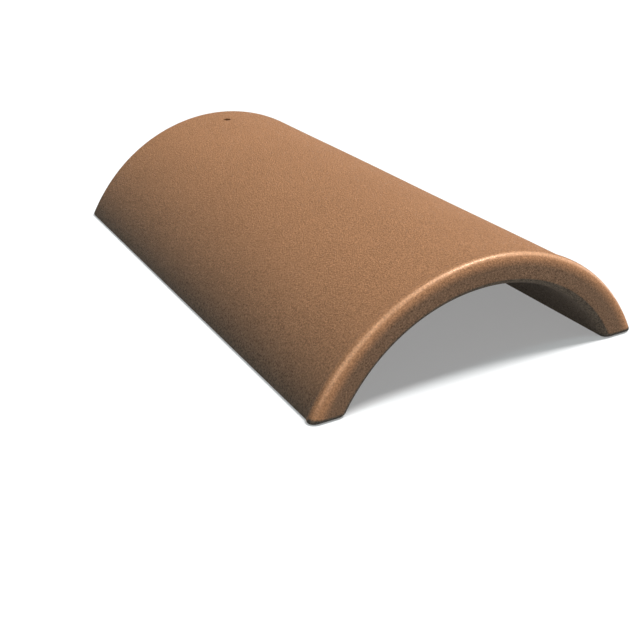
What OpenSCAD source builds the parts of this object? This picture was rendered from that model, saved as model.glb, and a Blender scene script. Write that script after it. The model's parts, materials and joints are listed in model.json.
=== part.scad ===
// Ridge tile: one fired clay piece that caps the top of a pitched roof.
// The wide front (-Y) has a rolled nose and laps over the narrower back (+Y) of the next tile.
// The tile stands on its two long feet, arch up. Millimetres.

/* [Barrel] */
// Length from the nose to the back edge
tile_length = 380; // [280:1:480]
// Width across the feet at the front, without the nose's bead
front_width = 244; // [200:1:300]
// Rise of the crown above the floor at the front, without the nose's bead
front_rise = 79; // [62:1:95]
// How much smaller the arch radius is at the back than at the front
back_narrowing = 9.5; // [0:0.5:16]

/* [Wall] */
// Thickness of the wall at the crown
crown_wall = 20; // [14:0.5:24]
// Width of each foot on the floor
foot_width = 23.5; // [18:0.5:30]

/* [Nose] */
// How far the rolled bead of the nose stands proud of the barrel
bead_proud = 1; // [0.5:0.5:4]
// Radius of the bead
bead_radius = 5.5; // [4:0.5:8]
// Radius of the hollow sweep from the bead to the barrel
sweep_radius = 10; // [5:0.5:16]
// Rounding of the nose's inner edge
nose_inner_radius = 5.5; // [2:0.5:8]
// Rounding under the nose, at the front end of each foot
nose_foot_radius = 3; // [2:0.5:6]

/* [Back and feet] */
// Rounding of the back edge, outside
back_outer_radius = 3; // [1:0.5:6]
// Rounding of the back edge, inside
back_inner_radius = 2.5; // [1:0.5:5]
// Bevel along the outer edge of each foot
foot_bevel = 1; // [0.5:0.5:3]

/* [Nail hole] */
// Diameter of the nail hole through the crown
nail_hole_d = 5.5; // [4:0.5:12]
// Distance from the back edge to the centre of the nail hole
nail_hole_inset = 27; // [15:1:60]

/* [Hidden] */
$fn = 96;
clay = [0.66, 0.48, 0.35];
front_y = -tile_length / 2;
back_y = tile_length / 2;
taper_angle = atan(back_narrowing / tile_length);

// Radius of the arch with a given half-width on the floor and a given rise
function arch_radius(half_width, rise) = (half_width ^ 2 + rise ^ 2) / (2 * rise);

// Outer and inner skins are arcs of two circles, whose centres lie at different depths below the floor
outer_radius = arch_radius(front_width / 2, front_rise);
outer_drop = outer_radius - front_rise;
inner_rise = front_rise - crown_wall;
inner_radius = arch_radius(front_width / 2 - foot_width, inner_rise);
inner_drop = inner_radius - inner_rise;

// Radius of a skin at a distance y behind the nose
function skin(front_radius, y) = front_radius - y * tan(taper_angle);

// Half-width of a skin on the floor, where its arc has the given radius and centre depth
function floor_x(radius, drop) = sqrt(radius ^ 2 - drop ^ 2);

// Directions along a skin, towards the back, and square out of it
along = [-sin(taper_angle), cos(taper_angle)];
outward = [cos(taper_angle), sin(taper_angle)];

// Centre of a rounding that is tangent to a skin from inside it, at a distance y behind the nose
function rounding_centre(front_radius, radius, y) = [skin(front_radius, y) - radius / cos(taper_angle), y];

// Centres of the bead, of the sweep behind it and of the back edge's outer rounding
bead_centre = rounding_centre(outer_radius + bead_proud / cos(taper_angle), bead_radius, bead_radius);
sweep_rise = bead_radius + sweep_radius - bead_proud;
sweep_run = sqrt((bead_radius + sweep_radius) ^ 2 - sweep_rise ^ 2);
sweep_centre = bead_centre + sweep_run * along + sweep_rise * outward;
back_centre = rounding_centre(outer_radius, back_outer_radius, tile_length - back_outer_radius);

// How far the roundings stop short of running out flat into the faces they meet
arris = 0.05;

// How far the inner edges' roundings dip past the inner skin, so that they cross it
dip = 0.02;

// Centres of the inner edges' roundings, which lie outside the inner skin
nose_y = nose_inner_radius - arris;
heel_y = tile_length - back_inner_radius + arris;
nose_centre = rounding_centre(inner_radius - dip, -nose_inner_radius, nose_y);
heel_centre = rounding_centre(inner_radius - dip, -back_inner_radius, heel_y);

// Depth of the blank below its outer skin, more than the wall needs
blank_depth = crown_wall + foot_width;

// How far cutters run past what they cut
overrun = 20;

// Size of the block that takes everything above the floor
reach = 2 * (tile_length + front_width);

module round_spot(centre, radius) {
    translate(centre) circle(r = radius);
}

// Hollow sweep that leads from the barrel up to the bead
module bead_sweep() {
    difference() {
        polygon([bead_centre, sweep_centre, sweep_centre - sweep_radius * outward]);
        round_spot(sweep_centre, sweep_radius);
    }
}

// Lengthwise section of the blank: radius from the outer arc's axis, distance from the nose
module blank_profile() {
    polygon([
        [outer_radius - blank_depth, 0],
        [bead_centre.x, 0],
        bead_centre,
        [skin(outer_radius, bead_centre.y), bead_centre.y],
        back_centre + back_outer_radius * outward,
        [back_centre.x, tile_length],
        [outer_radius - blank_depth - back_narrowing, tile_length]
    ]);
    bead_sweep();
    round_spot(bead_centre, bead_radius);
    round_spot(back_centre, back_outer_radius);
}

// Lengthwise section of the hollow, which flares round the inner edges at both ends
module hollow_profile() {
    difference() {
        polygon([
            [0, -overrun],
            [nose_centre.x, -overrun],
            nose_centre,
            [skin(inner_radius, nose_y), nose_y],
            [skin(inner_radius, heel_y), heel_y],
            heel_centre,
            [heel_centre.x, tile_length + overrun],
            [0, tile_length + overrun]
        ]);
        round_spot(nose_centre, nose_inner_radius);
        round_spot(heel_centre, back_inner_radius);
    }
}

// A section turned round an axis that lies along Y, at a depth below the floor
module turned(drop) {
    translate([0, front_y, -drop])
        rotate([-90, 0, 0])
            rotate_extrude($fn = 180)
                children();
}

// Everything above the floor, where the feet are cut off flat
module above_floor() {
    translate([-reach / 2, -reach / 2, 0]) cube(reach);
}

// Bevel along the outer foot edge of the +X side, following the taper
module foot_edge_bevel() {
    front_x = floor_x(outer_radius, outer_drop);
    back_x = floor_x(outer_radius - back_narrowing, outer_drop);
    lean = atan((front_x - back_x) / tile_length);
    translate([front_x - foot_bevel, front_y, 0])
        rotate([0, 0, lean])
            rotate([0, 45, 0])
                translate([0, -reach / 2, -reach / 2])
                    cube(reach);
}

// What is taken off to round the front end of both feet where they meet the floor
module nose_foot_rounding() {
    depth = nose_foot_radius - arris;
    translate([-reach / 2, front_y + depth, depth])
        difference() {
            translate([0, -2 * nose_foot_radius, -2 * nose_foot_radius])
                cube([reach, 2 * nose_foot_radius, 2 * nose_foot_radius]);
            rotate([0, 90, 0])
                cylinder(r = nose_foot_radius, h = reach);
        }
}

module nail_hole() {
    translate([0, back_y - nail_hole_inset, 0])
        cylinder(d = nail_hole_d, h = reach);
}

module ridge_tile() {
    color(clay)
        difference() {
            intersection() {
                turned(outer_drop) blank_profile();
                above_floor();
            }
            turned(inner_drop) hollow_profile();
            foot_edge_bevel();
            mirror([1, 0, 0]) foot_edge_bevel();
            nose_foot_rounding();
            nail_hole();
        }
}

ridge_tile();
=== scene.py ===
# Looks of a fired clay ridge tile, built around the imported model. Metres throughout.
import json
import math

import bpy
import numpy as np
from mathutils import Matrix, Vector


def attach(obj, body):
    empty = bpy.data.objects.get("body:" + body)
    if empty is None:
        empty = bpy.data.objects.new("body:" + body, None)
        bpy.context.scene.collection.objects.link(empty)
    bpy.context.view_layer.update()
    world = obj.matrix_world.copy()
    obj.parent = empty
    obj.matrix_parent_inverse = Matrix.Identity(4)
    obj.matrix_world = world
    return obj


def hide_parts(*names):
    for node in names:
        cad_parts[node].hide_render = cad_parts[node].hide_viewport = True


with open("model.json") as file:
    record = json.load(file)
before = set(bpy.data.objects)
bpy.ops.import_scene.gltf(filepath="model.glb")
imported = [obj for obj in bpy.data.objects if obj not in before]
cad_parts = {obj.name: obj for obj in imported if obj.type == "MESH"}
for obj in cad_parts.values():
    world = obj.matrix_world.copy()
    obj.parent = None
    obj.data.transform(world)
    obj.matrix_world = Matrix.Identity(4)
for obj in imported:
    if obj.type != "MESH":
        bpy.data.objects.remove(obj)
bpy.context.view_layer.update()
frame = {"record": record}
print("frame loaded")


# Tile: sizes of the fired piece, front end at -Y
tile = {
    "length": 0.380,
    "frontWidth": 0.244,
    "frontRise": 0.079,
    "backNarrowing": 0.0095,      # how much smaller the arch radius is at the back
    "crownWall": 0.020,
    "footWidth": 0.0235,
    "beadProud": 0.001,
    "beadRadius": 0.0055,
    "sweepRadius": 0.010,
    "noseInnerRadius": 0.0055,
    "backOuterRadius": 0.003,
    "backInnerRadius": 0.0025,
    "footRounding": 0.0019,       # arris where the skins meet the feet
    "noseFootRounding": 0.0030,   # the same, under the nose
    "waver": 0.0003,              # how far the skin wanders inwards from true
    "waves": 9,
    "wavesAlong": (8, 55),        # least and most turn of a wave, in radians per metre of length
    "wavesRound": (1, 8),         # and in radians from the crown to a foot
    "seed": 7,
    "calmHole": 0.008,            # no wander this near the nail hole, or on the floor
    "calmFade": 0.020,
    "beadRings": 16,              # points of the wall's section on each of its stretches
    "sweepRings": 9,
    "barrelRings": 180,
    "backRings": 7,
    "noseRings": 10,
    "faceRings": 8,
    "noseRungs": 20,              # rings that end in one face under the nose, and at the back
    "backRungs": 12,
    "footSteps": 12,              # steps round the arch that are finer, next to each foot
    "footReach": 0.009,
    "archStep": 0.002,
}


# Radius of an arch from its half-width on the floor and its rise: (w^2 + h^2) / 2h
def archRadius(halfWidth, rise):
    return (halfWidth ** 2 + rise ** 2) / (2 * rise)


# Outer and inner skins are arcs whose centres lie at different depths below the floor
halfWidth = tile["frontWidth"] / 2
outerRadius = archRadius(halfWidth, tile["frontRise"])
outerDrop = outerRadius - tile["frontRise"]
innerRise = tile["frontRise"] - tile["crownWall"]
innerRadius = archRadius(halfWidth - tile["footWidth"], innerRise)
innerDrop = innerRadius - innerRise

# Both taper alike. Along a skin towards the back, and square out of it, as (y, r)
taper = math.atan(tile["backNarrowing"] / tile["length"])
lean = math.degrees(taper)
along = np.array([math.cos(taper), -math.sin(taper)])
outward = np.array([math.sin(taper), math.cos(taper)])


# Points of an arc, as (y, r): centre plus radius times (cos, sin) from one angle to another
def arcPoints(centre, radius, startDeg, endDeg, count):
    angle = np.radians(np.linspace(startDeg, endDeg, count))
    return np.stack([centre[0] + radius * np.cos(angle), centre[1] + radius * np.sin(angle)], 1)


# Points of a straight stretch between two (y, r) places, both ends left out
def linePoints(start, end, count):
    share = np.linspace(0, 1, count + 2)[1:-1, None]
    return np.array(start) * (1 - share) + np.array(end) * share


# Centre of a rounding tangent to a tapered skin: r = skin at y, less the rounding over cos(taper)
def roundingCentre(skinRadius, rounding, y):
    return np.array([y, skinRadius - y * math.tan(taper) - rounding / math.cos(taper)])


# Outer run of the wall's lengthwise section, as (y, r): nose bead, hollow sweep, barrel, back edge.
# The sweep's circle touches the bead's from outside, and the barrel from above.
def outerRun():
    proud, beadR, sweepR = tile["beadProud"], tile["beadRadius"], tile["sweepRadius"]
    backR = tile["backOuterRadius"]
    bead = roundingCentre(outerRadius + proud / math.cos(taper), beadR, beadR)
    rise = beadR + sweepR - proud
    run = math.sqrt((beadR + sweepR) ** 2 - rise ** 2)
    sweep = bead + run * along + rise * outward
    meetDeg = math.degrees(math.atan2(sweep[1] - bead[1], sweep[0] - bead[0]))
    back = roundingCentre(outerRadius, backR, tile["length"] - backR)
    barrelStart, barrelEnd = sweep - sweepR * outward, back + backR * outward
    return np.concatenate([
        arcPoints(bead, beadR, 180, meetDeg, tile["beadRings"]),
        arcPoints(sweep, sweepR, meetDeg + 180, 270 - lean, tile["sweepRings"])[1:],
        linePoints(barrelStart, barrelEnd, tile["barrelRings"]),
        arcPoints(back, backR, 90 - lean, 0, tile["backRings"]),
    ])


# Inner run of the section, from back to nose: edge rounding, inner skin, edge rounding, as (y, r)
def innerRun(count):
    noseR, backR = tile["noseInnerRadius"], tile["backInnerRadius"]
    nose = roundingCentre(innerRadius, -noseR, noseR)
    back = roundingCentre(innerRadius, -backR, tile["length"] - backR)
    skinCount = count - tile["backRings"] - tile["noseRings"]
    return np.concatenate([
        arcPoints(back, backR, 0, -90 - lean, tile["backRings"]),
        linePoints(back - backR * outward, nose - noseR * outward, skinCount),
        arcPoints(nose, noseR, -90 - lean, -180, tile["noseRings"]),
    ])


# Rows of the section from columns or single values
def sectionRows(y, outerR, innerR, share):
    return np.stack(np.broadcast_arrays(y, outerR, innerR, share), 1)


# Closed section of the wall, as columns y, radius on the outer arc, radius on the inner arc and
# share of the inner one. It starts halfway up the front face, goes over the nose and the barrel,
# and comes back inside.
def wallSection():
    outer = outerRun()
    inner = innerRun(len(outer))
    faceShares = np.linspace(0, 1, tile["faceRings"] + 2)[1:-1]
    outerRows = sectionRows(outer[:, 0], outer[:, 1], innerRadius, 0.0)
    innerRows = sectionRows(inner[:, 0], outerRadius, inner[:, 1], 1.0)
    front = sectionRows(0.0, outer[0, 1], inner[-1, 1], faceShares)
    back = sectionRows(tile["length"], outer[-1, 1], inner[0, 1], faceShares)
    half = tile["faceRings"] // 2
    return np.concatenate([front[:half][::-1], outerRows, back, innerRows, front[half:][::-1]])


# Outward normal of a closed section: the chord across each point's neighbours, turned a quarter
def sectionNormals(points):
    chord = np.roll(points, -1, 0) - np.roll(points, 1, 0)
    normal = np.stack([-chord[:, 1], chord[:, 0]], 1)
    return normal / np.linalg.norm(normal, axis=1, keepdims=True)


# Places round the arch, -1 at the left foot and 1 at the right: squared steps out of each foot,
# then even ones
def archPlaces():
    halfArc = outerRadius * math.acos(outerDrop / outerRadius)
    footShare = tile["footReach"] / halfArc
    footPlaces = (np.arange(tile["footSteps"] + 1) / tile["footSteps"]) ** 2 * footShare
    evenCount = int((halfArc - tile["footReach"]) / tile["archStep"])
    evenPlaces = np.linspace(footShare, 1, evenCount + 1)[1:]
    left = np.concatenate([footPlaces, evenPlaces]) - 1
    return np.concatenate([left, -left[-2::-1]])


# Slow wander of the skin, from 0 to 1: a sum of seeded sine waves over the length and the arch
def skinWander(y, place):
    draw = np.random.default_rng(tile["seed"])
    total = np.zeros_like(y + place)
    for wave in range(tile["waves"]):
        turnAlong, turnRound = draw.uniform(*tile["wavesAlong"]), draw.uniform(*tile["wavesRound"])
        total += np.sin(turnAlong * y + turnRound * place + draw.uniform(0, 2 * math.pi))
    return 0.5 + 0.5 * np.tanh(total / math.sqrt(tile["waves"]))


# Quads of a grid of point numbers that closes on itself along its first direction
def ringQuads(index):
    following = np.roll(index, -1, 0)
    corners = [index[:, :-1], following[:, :-1], following[:, 1:], index[:, 1:]]
    return np.stack(corners, -1).reshape(-1, 4).tolist()


# Faces of a closed section carried round the arch: quads all round, and on each foot a row of
# rungs between outer and inner points, with one face for the nose end and one for the back end
def shellFaces(ringCount, placeCount):
    index = np.arange(ringCount * placeCount).reshape(ringCount, placeCount)
    last = ringCount - 1
    first, final = tile["noseRungs"], ringCount // 2 - tile["backRungs"]
    step = np.arange(first, final)
    foot = np.stack([step, step + 1, last - 1 - step, last - step], -1).tolist()
    foot.append([*range(first + 1), *range(last - first, ringCount)])
    foot.append([*range(final, last - final + 1)])
    leftFoot = [index[face[::-1], 0].tolist() for face in foot]
    rightFoot = [index[face, -1].tolist() for face in foot]
    return ringQuads(index) + leftFoot + rightFoot


# Height of an arc above the floor at a place round it: r cos(place * acos(drop / r)) - drop
def arcHeight(radius, drop, place):
    return np.maximum(radius * np.cos(np.arccos(drop / radius) * place) - drop, 0)


# Point of an arc after its radius has changed: near the floor the height stays, higher up the
# angle does
def arcPlace(radius, newRadius, drop, place, nearFloor):
    height = arcHeight(radius, drop, place)
    footAngle = np.arccos(np.clip((height + drop) / newRadius, -1, 1)) * np.sign(place)
    angle = np.where(nearFloor, footAngle, np.arccos(drop / radius) * place)
    return newRadius * np.sin(angle), np.maximum(newRadius * np.cos(angle) - drop, 0)


# The tile's skin: the wall section carried round the arch, from floor to floor, each point a blend
# of its places on both arcs. Near the floor a point moves in along the section's normal by
# r - sqrt(r^2 - (r - z)^2), which rounds the feet, and higher up it wanders in a little.
def tileSurface(holeY):
    y, outerR, innerR, share = (column[:, None] for column in wallSection().T)
    place = archPlaces()[None, :]

    def blend(outer, inner):
        return outer * (1 - share) + inner * share

    crown = blend(outerR - outerDrop, innerR - innerDrop)
    normal = sectionNormals(np.concatenate([y, crown], 1))
    normalY, normalR = normal[:, :1], normal[:, 1:]
    height = blend(arcHeight(outerR, outerDrop, place), arcHeight(innerR, innerDrop, place))

    noseExtra = tile["noseFootRounding"] - tile["footRounding"]
    rounding = tile["footRounding"] + noseExtra * np.clip(-normalY, 0, 1) ** 2
    below = np.maximum(rounding - height, 0)
    inset = rounding - np.sqrt(np.maximum(rounding ** 2 - below ** 2, 0))

    fromHole = np.hypot(y - tile["length"] / 2 - holeY, outerR * place)
    calm = np.clip(height / tile["calmFade"], 0, 1)
    calm = calm * np.clip((fromHole - tile["calmHole"]) / tile["calmFade"], 0, 1)
    inset = inset + tile["waver"] * calm * skinWander(y, place)

    nearFloor = height < rounding
    outerX, outerZ = arcPlace(outerR, outerR - inset * normalR, outerDrop, place, nearFloor)
    innerX, innerZ = arcPlace(innerR, innerR - inset * normalR, innerDrop, place, nearFloor)
    newY = y - inset * normalY - tile["length"] / 2
    points = np.stack([blend(outerX, innerX), newY, blend(outerZ, innerZ)], -1).reshape(-1, 3)
    return points, shellFaces(len(y), place.size)


# A profile of radii and heights turned round Z: x = r cos(t), y = r sin(t), z = h.
# Gives the points and the grid of their numbers; start is the first angle, in steps.
def turnedProfile(radius, height, sides, start):
    turn = (np.arange(sides) + start) * 2 * math.pi / sides
    x, y = radius[:, None] * np.cos(turn), radius[:, None] * np.sin(turn)
    points = np.stack([x, y, height[:, None] + 0 * turn], -1).reshape(-1, 3)
    return points, np.arange(len(points)).reshape(len(radius), sides)


# Nail hole: a straight hole with softened rims
nailHole = {
    "rim": 0.0006,
    "rimRings": 8,
    "sides": 64,
    "overrun": 0.004,
}


# The hole's cutter: a profile turned round the hole's axis, straight in the wall and flared by a
# quarter round at both skins. It starts half a step round, so its corners miss the tile's edges.
def holeSurface(centre, holeRadius, lowZ, topZ):
    rim, overrun = nailHole["rim"], nailHole["overrun"]
    bend = np.radians(np.linspace(0, 90, nailHole["rimRings"]))
    flare = holeRadius + rim * (1 - np.sin(bend))
    rise = rim * (1 - np.cos(bend))
    radius = np.concatenate([[flare[0]], flare, flare[::-1], [flare[0]]])
    height = np.concatenate([[lowZ - overrun], lowZ + rise, topZ - rise[::-1], [topZ + overrun]])
    points, index = turnedProfile(radius, height, nailHole["sides"], 0.5)
    caps = [index[0, ::-1].tolist(), index[-1].tolist()]
    return points + np.array([*centre, 0]), ringQuads(index.T) + caps


# New mesh object from whole arrays of points and faces, shaded smooth
def meshObject(name, points, faces):
    mesh = bpy.data.meshes.new(name)
    mesh.from_pydata(points, [], faces)
    mesh.validate()
    mesh.polygons.foreach_set("use_smooth", np.ones(len(mesh.polygons), bool))
    mesh.update()
    thing = bpy.data.objects.new(name, mesh)
    bpy.context.scene.collection.objects.link(thing)
    return thing


# Takes a cutter's shape out of an object for good, and removes the cutter
def cutAway(thing, cutter):
    cut = thing.modifiers.new("nailHole", "BOOLEAN")
    cut.operation = "DIFFERENCE"
    cut.solver = "EXACT"
    cut.object = cutter
    depsgraph = bpy.context.evaluated_depsgraph_get()
    rest = bpy.data.meshes.new_from_object(thing.evaluated_get(depsgraph))
    thing.modifiers.clear()
    thing.data = rest
    bpy.data.objects.remove(cutter)


holeMount = next(m for m in frame["record"]["mounts"] if m["name"] == "nail_hole")
holeX, holeY = holeMount["pos_m"][:2]
holeRadius = holeMount["dims"]["r_mm"] / 1000
crownTop = tile["frontRise"] - math.tan(taper) * (holeY + tile["length"] / 2)
crownLow = crownTop - tile["crownWall"]

ridgeTile = meshObject("ridgeTile", *tileSurface(holeY))
holeParts = holeSurface((holeX, holeY), holeRadius, crownLow, crownTop)
cutAway(ridgeTile, meshObject("nailHoleCutter", *holeParts))
triangles = sum(len(face.vertices) - 2 for face in ridgeTile.data.polygons)
print("tile:", len(ridgeTile.data.vertices), "points,", triangles, "triangles")


# Clay: sandy terracotta, rubbed smoother and glossier along the nose under a painted highlight, and
# darkened by painted shade towards the feet, on the front face, inside and under the nose
clay = {
    "body": (0.385, 0.190, 0.094),
    "grain": {"Scale": 900, "Detail": 2.0, "Roughness": 0.6},
    "grainSpan": (0.25, 0.75),    # noise values of the darkest and the lightest grains
    "grainSpread": 0.37,          # how far these stray from the colour under them
    "fine": {"Scale": 1700, "Detail": 1.0, "Roughness": 0.5},
    "patch": {"Scale": 14, "Detail": 3.0, "Roughness": 0.55},
    "patchSpan": (0.3, 0.7),
    "patchSpread": 0.035,
    "roughness": 0.80,
    "specular": 0.15,
    "gleam": (1.0, 0.62, 0.42),
    "bump": 0.90,
    "bumpDepth": 0.0010,
    # painted highlight: a lighter colour along the nose's bead that stands for the light caught
    # there; the rubbed roughness, gloss and bump are the line's own
    "rubbedAndHighlight": (0.60, 0.32, 0.175),
    "rubbedRoughness": 0.24,
    "rubbedBump": 0.12,
    "rubbedSpecular": 0.70,
    "rubAngle": 36,               # the rubbed line, which carries the painted highlight, lies this many degrees forward of the bead's top
    "rubReach": 0.0014,
    "rubFade": 0.03,              # below this height the line fades out towards the feet
    # painted shade: a dark colour that stands for the shade on the lower flanks, the front face,
    # the inside and under the nose
    "paintedShade": (0.053, 0.050, 0.041),
    "paintedShadeGrain": 0.78,           # spread of the grains where shade is painted
    "paintedShadeHeight": 0.068,         # painted shade darkens the outer skin from this height down to the feet
    "paintedShadeFall": 1.5,
    "paintedShadeStart": 0.6,            # bead radii behind the nose, or below the skin, that stay clear
    "paintedShadeSoft": 0.0015,          # width of the steep ramps
    "faceDepth": 0.00195,         # how far behind the nose its face ends, and its underside
    "underDepth": 0.0075,
    "underHeight": 0.00435,
    "paintedShadeFoot": 0.94,            # most of the painted shade colour that each zone takes
    "paintedShadeFace": 0.66,
    "paintedShadeInside": 0.94,
    "paintedShadeUnder": 1.0,
}


# Rubbed share of each point, which also places the painted highlight: exp(-(d / reach)^2), where d
# is the distance to a line round the nose's bead, times a fade towards the feet
def rubbedAndHighlightShare(points):
    x, y, height = points.T
    forward = math.radians(clay["rubAngle"])
    lineY = tile["beadRadius"] * (1 - math.sin(forward)) - tile["length"] / 2
    lineR = outerRadius + tile["beadProud"] - tile["beadRadius"] * (1 - math.cos(forward))
    away = np.hypot(y - lineY, np.hypot(x, height + outerDrop) - lineR)
    return np.exp(-(away / clay["rubReach"]) ** 2) * np.clip(height / clay["rubFade"], 0, 1)


# A steep ramp: 0 up to the edge of a zone, and 1 from a short way inside it
def paintedShadeRamp(insideBy):
    return np.clip(insideBy / clay["paintedShadeSoft"], 0, 1)


# Painted shade share of each point, the largest of four: a power of the way down to the feet, which
# stops at the bead, and ramps onto the front face, the inner skin and the rounding under the nose
def paintedShadeShare(points):
    x, y, height = points.T
    fromNose = y + tile["length"] / 2
    belowSkin = outerRadius + tile["beadProud"] - np.hypot(x, height + outerDrop)
    aboveInner = np.hypot(x, height + innerDrop) - innerRadius + fromNose * math.tan(taper)
    behindBead = np.clip(fromNose / tile["beadRadius"] - clay["paintedShadeStart"], 0, 1)
    belowBead = np.clip(belowSkin / tile["beadRadius"] - clay["paintedShadeStart"], 0, 1)
    low = np.clip(1 - height / clay["paintedShadeHeight"], 0, 1) ** clay["paintedShadeFall"] * behindBead
    face = belowBead * paintedShadeRamp(clay["faceDepth"] - fromNose)
    inside = paintedShadeRamp(tile["noseInnerRadius"] - aboveInner)
    under = paintedShadeRamp(clay["underHeight"] - height) * paintedShadeRamp(clay["underDepth"] - fromNose)
    # the four zones of painted shade: lower flanks, front face, inner skin, and the shadow under
    # the nose
    return np.max([
        low * clay["paintedShadeFoot"],
        face * clay["paintedShadeFace"],
        inside * clay["paintedShadeInside"],
        under * clay["paintedShadeUnder"],
    ], axis=0)


# New node, with the values of its sockets and its settings
def addNode(tree, kind, sockets=None, **settings):
    node = tree.nodes.new(kind)
    for name, value in settings.items():
        setattr(node, name, value)
    for name, value in (sockets or {}).items():
        node.inputs[name].default_value = value
    return node


# Value moved from one range to another
def addRange(tree, source, start, end):
    ends = dict(zip(("From Min", "From Max", "To Min", "To Max"), (*start, *end)))
    node = addNode(tree, "ShaderNodeMapRange", ends)
    tree.links.new(source, node.inputs["Value"])
    return node.outputs["Result"]


# Two values put together by one operation
def addMath(tree, operation, first, second):
    node = addNode(tree, "ShaderNodeMath", operation=operation)
    tree.links.new(first, node.inputs[0])
    tree.links.new(second, node.inputs[1])
    return node.outputs["Value"]


# Sandy clay: body, painted shade and painted highlight colours mixed by their shares, times grain,
# times patches
def clayMaterial():
    material = bpy.data.materials.new("sandyClay")
    material.use_nodes = True
    tree = material.node_tree
    shader = tree.nodes["Principled BSDF"]
    shader.inputs["Specular Tint"].default_value = (*clay["gleam"], 1)
    place = addNode(tree, "ShaderNodeTexCoord").outputs["Object"]
    rubbedAndHighlight = addNode(tree, "ShaderNodeAttribute", attribute_name="rubbedAndHighlight").outputs["Fac"]
    paintedShade = addNode(tree, "ShaderNodeAttribute", attribute_name="paintedShade").outputs["Fac"]

    noises = [addNode(tree, "ShaderNodeTexNoise", clay[k]) for k in ("grain", "fine", "patch")]
    for noise in noises:
        tree.links.new(place, noise.inputs["Vector"])
    grain, fine, patch = (noise.outputs["Fac"] for noise in noises)

    # grains stray further where shade is painted
    spread = addRange(tree, paintedShade, (0, 1), (clay["grainSpread"], clay["paintedShadeGrain"]))
    stray = addMath(tree, "MULTIPLY", addRange(tree, grain, clay["grainSpan"], (-1, 1)), spread)
    grainShade = addRange(tree, stray, (-1, 1), (0, 2))
    patchEnds = (1 - clay["patchSpread"], 1 + clay["patchSpread"])
    patchShade = addRange(tree, patch, clay["patchSpan"], patchEnds)
    shade = addMath(tree, "MULTIPLY", grainShade, patchShade)

    colours = {"Color1": (*clay["body"], 1), "Color2": (*clay["paintedShade"], 1)}
    paintedShadeMix = addNode(tree, "ShaderNodeMixRGB", colours)
    # the lighter rubbed colour is a painted highlight along the nose
    paintedHighlightMix = addNode(tree, "ShaderNodeMixRGB", {"Color2": (*clay["rubbedAndHighlight"], 1)})
    tint = addNode(tree, "ShaderNodeVectorMath", operation="SCALE")
    tree.links.new(paintedShade, paintedShadeMix.inputs["Fac"])
    tree.links.new(rubbedAndHighlight, paintedHighlightMix.inputs["Fac"])
    tree.links.new(paintedShadeMix.outputs["Color"], paintedHighlightMix.inputs["Color1"])
    tree.links.new(paintedHighlightMix.outputs["Color"], tint.inputs[0])
    tree.links.new(shade, tint.inputs["Scale"])
    tree.links.new(tint.outputs["Vector"], shader.inputs["Base Color"])

    # sand grains stand up from the skin, which is smoother and glossier where rubbed
    bump = addNode(tree, "ShaderNodeBump", {"Distance": clay["bumpDepth"]})
    tree.links.new(addMath(tree, "ADD", grain, fine), bump.inputs["Height"])
    tree.links.new(bump.outputs["Normal"], shader.inputs["Normal"])
    for socket, plain, worn in (
        (shader.inputs["Roughness"], "roughness", "rubbedRoughness"),
        (shader.inputs["Specular IOR Level"], "specular", "rubbedSpecular"),
        (bump.inputs["Strength"], "bump", "rubbedBump"),
    ):
        tree.links.new(addRange(tree, rubbedAndHighlight, (0, 1), (clay[plain], clay[worn])), socket)
    return material


skinPoints = np.zeros(3 * len(ridgeTile.data.vertices))
ridgeTile.data.vertices.foreach_get("co", skinPoints)
# shares on the points: the rubbed line with its painted highlight, and the painted shade
for name, shares in (("rubbedAndHighlight", rubbedAndHighlightShare), ("paintedShade", paintedShadeShare)):
    layer = ridgeTile.data.attributes.new(name, "FLOAT", "POINT")
    layer.data.foreach_set("value", shares(skinPoints.reshape(-1, 3)))
ridgeTile.data.materials.clear()
ridgeTile.data.materials.append(clayMaterial())
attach(ridgeTile, "root")
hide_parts("ridge_tile")
print("clay done")


# Studio: pale floor, a soft key from above on the right, a weak light on the left and a faint sky
studio = {
    "floorMiddle": 0.5,           # radius of the floor's middle face
    "floorReach": 3.0,
    "sweepRadius": 1.8,           # beyond its reach the floor turns up, through this many degrees
    "sweepTurn": 62,
    "sweepWall": 0.85,            # and then runs on straight this far
    "sweepRings": 16,
    "floorSides": 96,
    "floorColour": (0.60, 0.60, 0.60),
    "floorRoughness": 0.9,
    "floorGlow": 0.28,            # keeps the floor pale where the tile shades it
    "keyFrom": (0.43, -0.10, 0.88),
    "keySpread": 14,              # degrees the key fills, which softens shadows
    "keyColour": (1.0, 1.0, 1.0),
    "keyStrength": 4.08,
    "fillFrom": (-0.50, -0.20, 0.85),
    "fillSpread": 8,
    "fillColour": (0.80, 1.0, 1.03),
    "fillStrength": 0.44,
    "skyColour": (0.84, 1.0, 1.06),
    "skyStrength": 0.07,
}


# The floor: a flat disc with an upturned rim, a profile of radius and height turned round Z
def floorSurface():
    sweep, wall = studio["sweepRadius"], studio["sweepWall"]
    bend = np.radians(np.linspace(0, studio["sweepTurn"], studio["sweepRings"]))
    radius = studio["floorReach"] + sweep * np.sin(bend)
    height = sweep * (1 - np.cos(bend))
    rimRadius = radius[-1] + wall * np.cos(bend[-1])
    rimHeight = height[-1] + wall * np.sin(bend[-1])
    radius = np.concatenate([[studio["floorMiddle"]], radius, [rimRadius]])
    height = np.concatenate([[0.0], height, [rimHeight]])
    points, index = turnedProfile(radius, height, studio["floorSides"], 0)
    return points, ringQuads(index.T[::-1]) + [index[0].tolist()]


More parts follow.
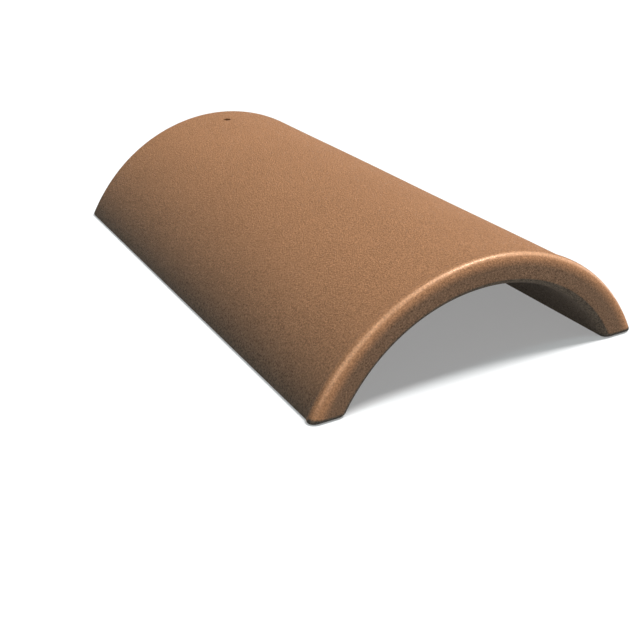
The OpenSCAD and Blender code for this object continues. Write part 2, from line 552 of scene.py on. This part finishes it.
# Floor, two lamps and the sky
def makeStudio():
    floor = meshObject("floor", *floorSurface())
    paint = bpy.data.materials.new("paleFloor")
    paint.use_nodes = True
    shader = paint.node_tree.nodes["Principled BSDF"]
    shader.inputs["Base Color"].default_value = (*studio["floorColour"], 1)
    shader.inputs["Roughness"].default_value = studio["floorRoughness"]
    shader.inputs["Emission Color"].default_value = (1, 1, 1, 1)
    shader.inputs["Emission Strength"].default_value = studio["floorGlow"]
    floor.data.materials.append(paint)

    for name in ("key", "fill"):
        lamp = bpy.data.lights.new(name, "SUN")
        lamp.angle = math.radians(studio[name + "Spread"])
        lamp.color = studio[name + "Colour"]
        lamp.energy = studio[name + "Strength"]
        light = bpy.data.objects.new(name, lamp)
        light.rotation_euler = Vector(studio[name + "From"]).to_track_quat("Z", "Y").to_euler()
        bpy.context.scene.collection.objects.link(light)

    world = bpy.data.worlds.new("sky")
    world.use_nodes = True
    sky = world.node_tree.nodes["Background"]
    sky.inputs["Color"].default_value = (*studio["skyColour"], 1)
    sky.inputs["Strength"].default_value = studio["skyStrength"]
    bpy.context.scene.world = world
    bpy.context.scene.view_settings.view_transform = "Standard"


# Camera: worked out from the edges of the tile as photographed
view = {
    "azimuth": -30.12,
    "elevation": 26.36,
    "distance": 0.90202,
    "slideRight": -0.00581,
    "slideUp": -0.03817,
    "lens": 68.81,
    "sensor": 36,
}


# Looks at the frame's origin along azimuth and elevation, then slides sideways and up
def makeCamera():
    turn, tip = math.radians(view["azimuth"]), math.radians(view["elevation"])
    back = Vector((math.sin(turn) * math.cos(tip), -math.cos(turn) * math.cos(tip), math.sin(tip)))
    right = Vector((0, 0, 1)).cross(back).normalized()
    up = back.cross(right)
    optics = bpy.data.cameras.new("camera")
    optics.lens = view["lens"]
    optics.sensor_width = view["sensor"]
    camera = bpy.data.objects.new("camera", optics)
    pose = Matrix((right, up, back)).transposed().to_4x4()
    pose.translation = back * view["distance"] + right * view["slideRight"] + up * view["slideUp"]
    camera.matrix_world = pose
    bpy.context.scene.collection.objects.link(camera)
    bpy.context.scene.camera = camera


makeStudio()
makeCamera()
print("studio and camera done")
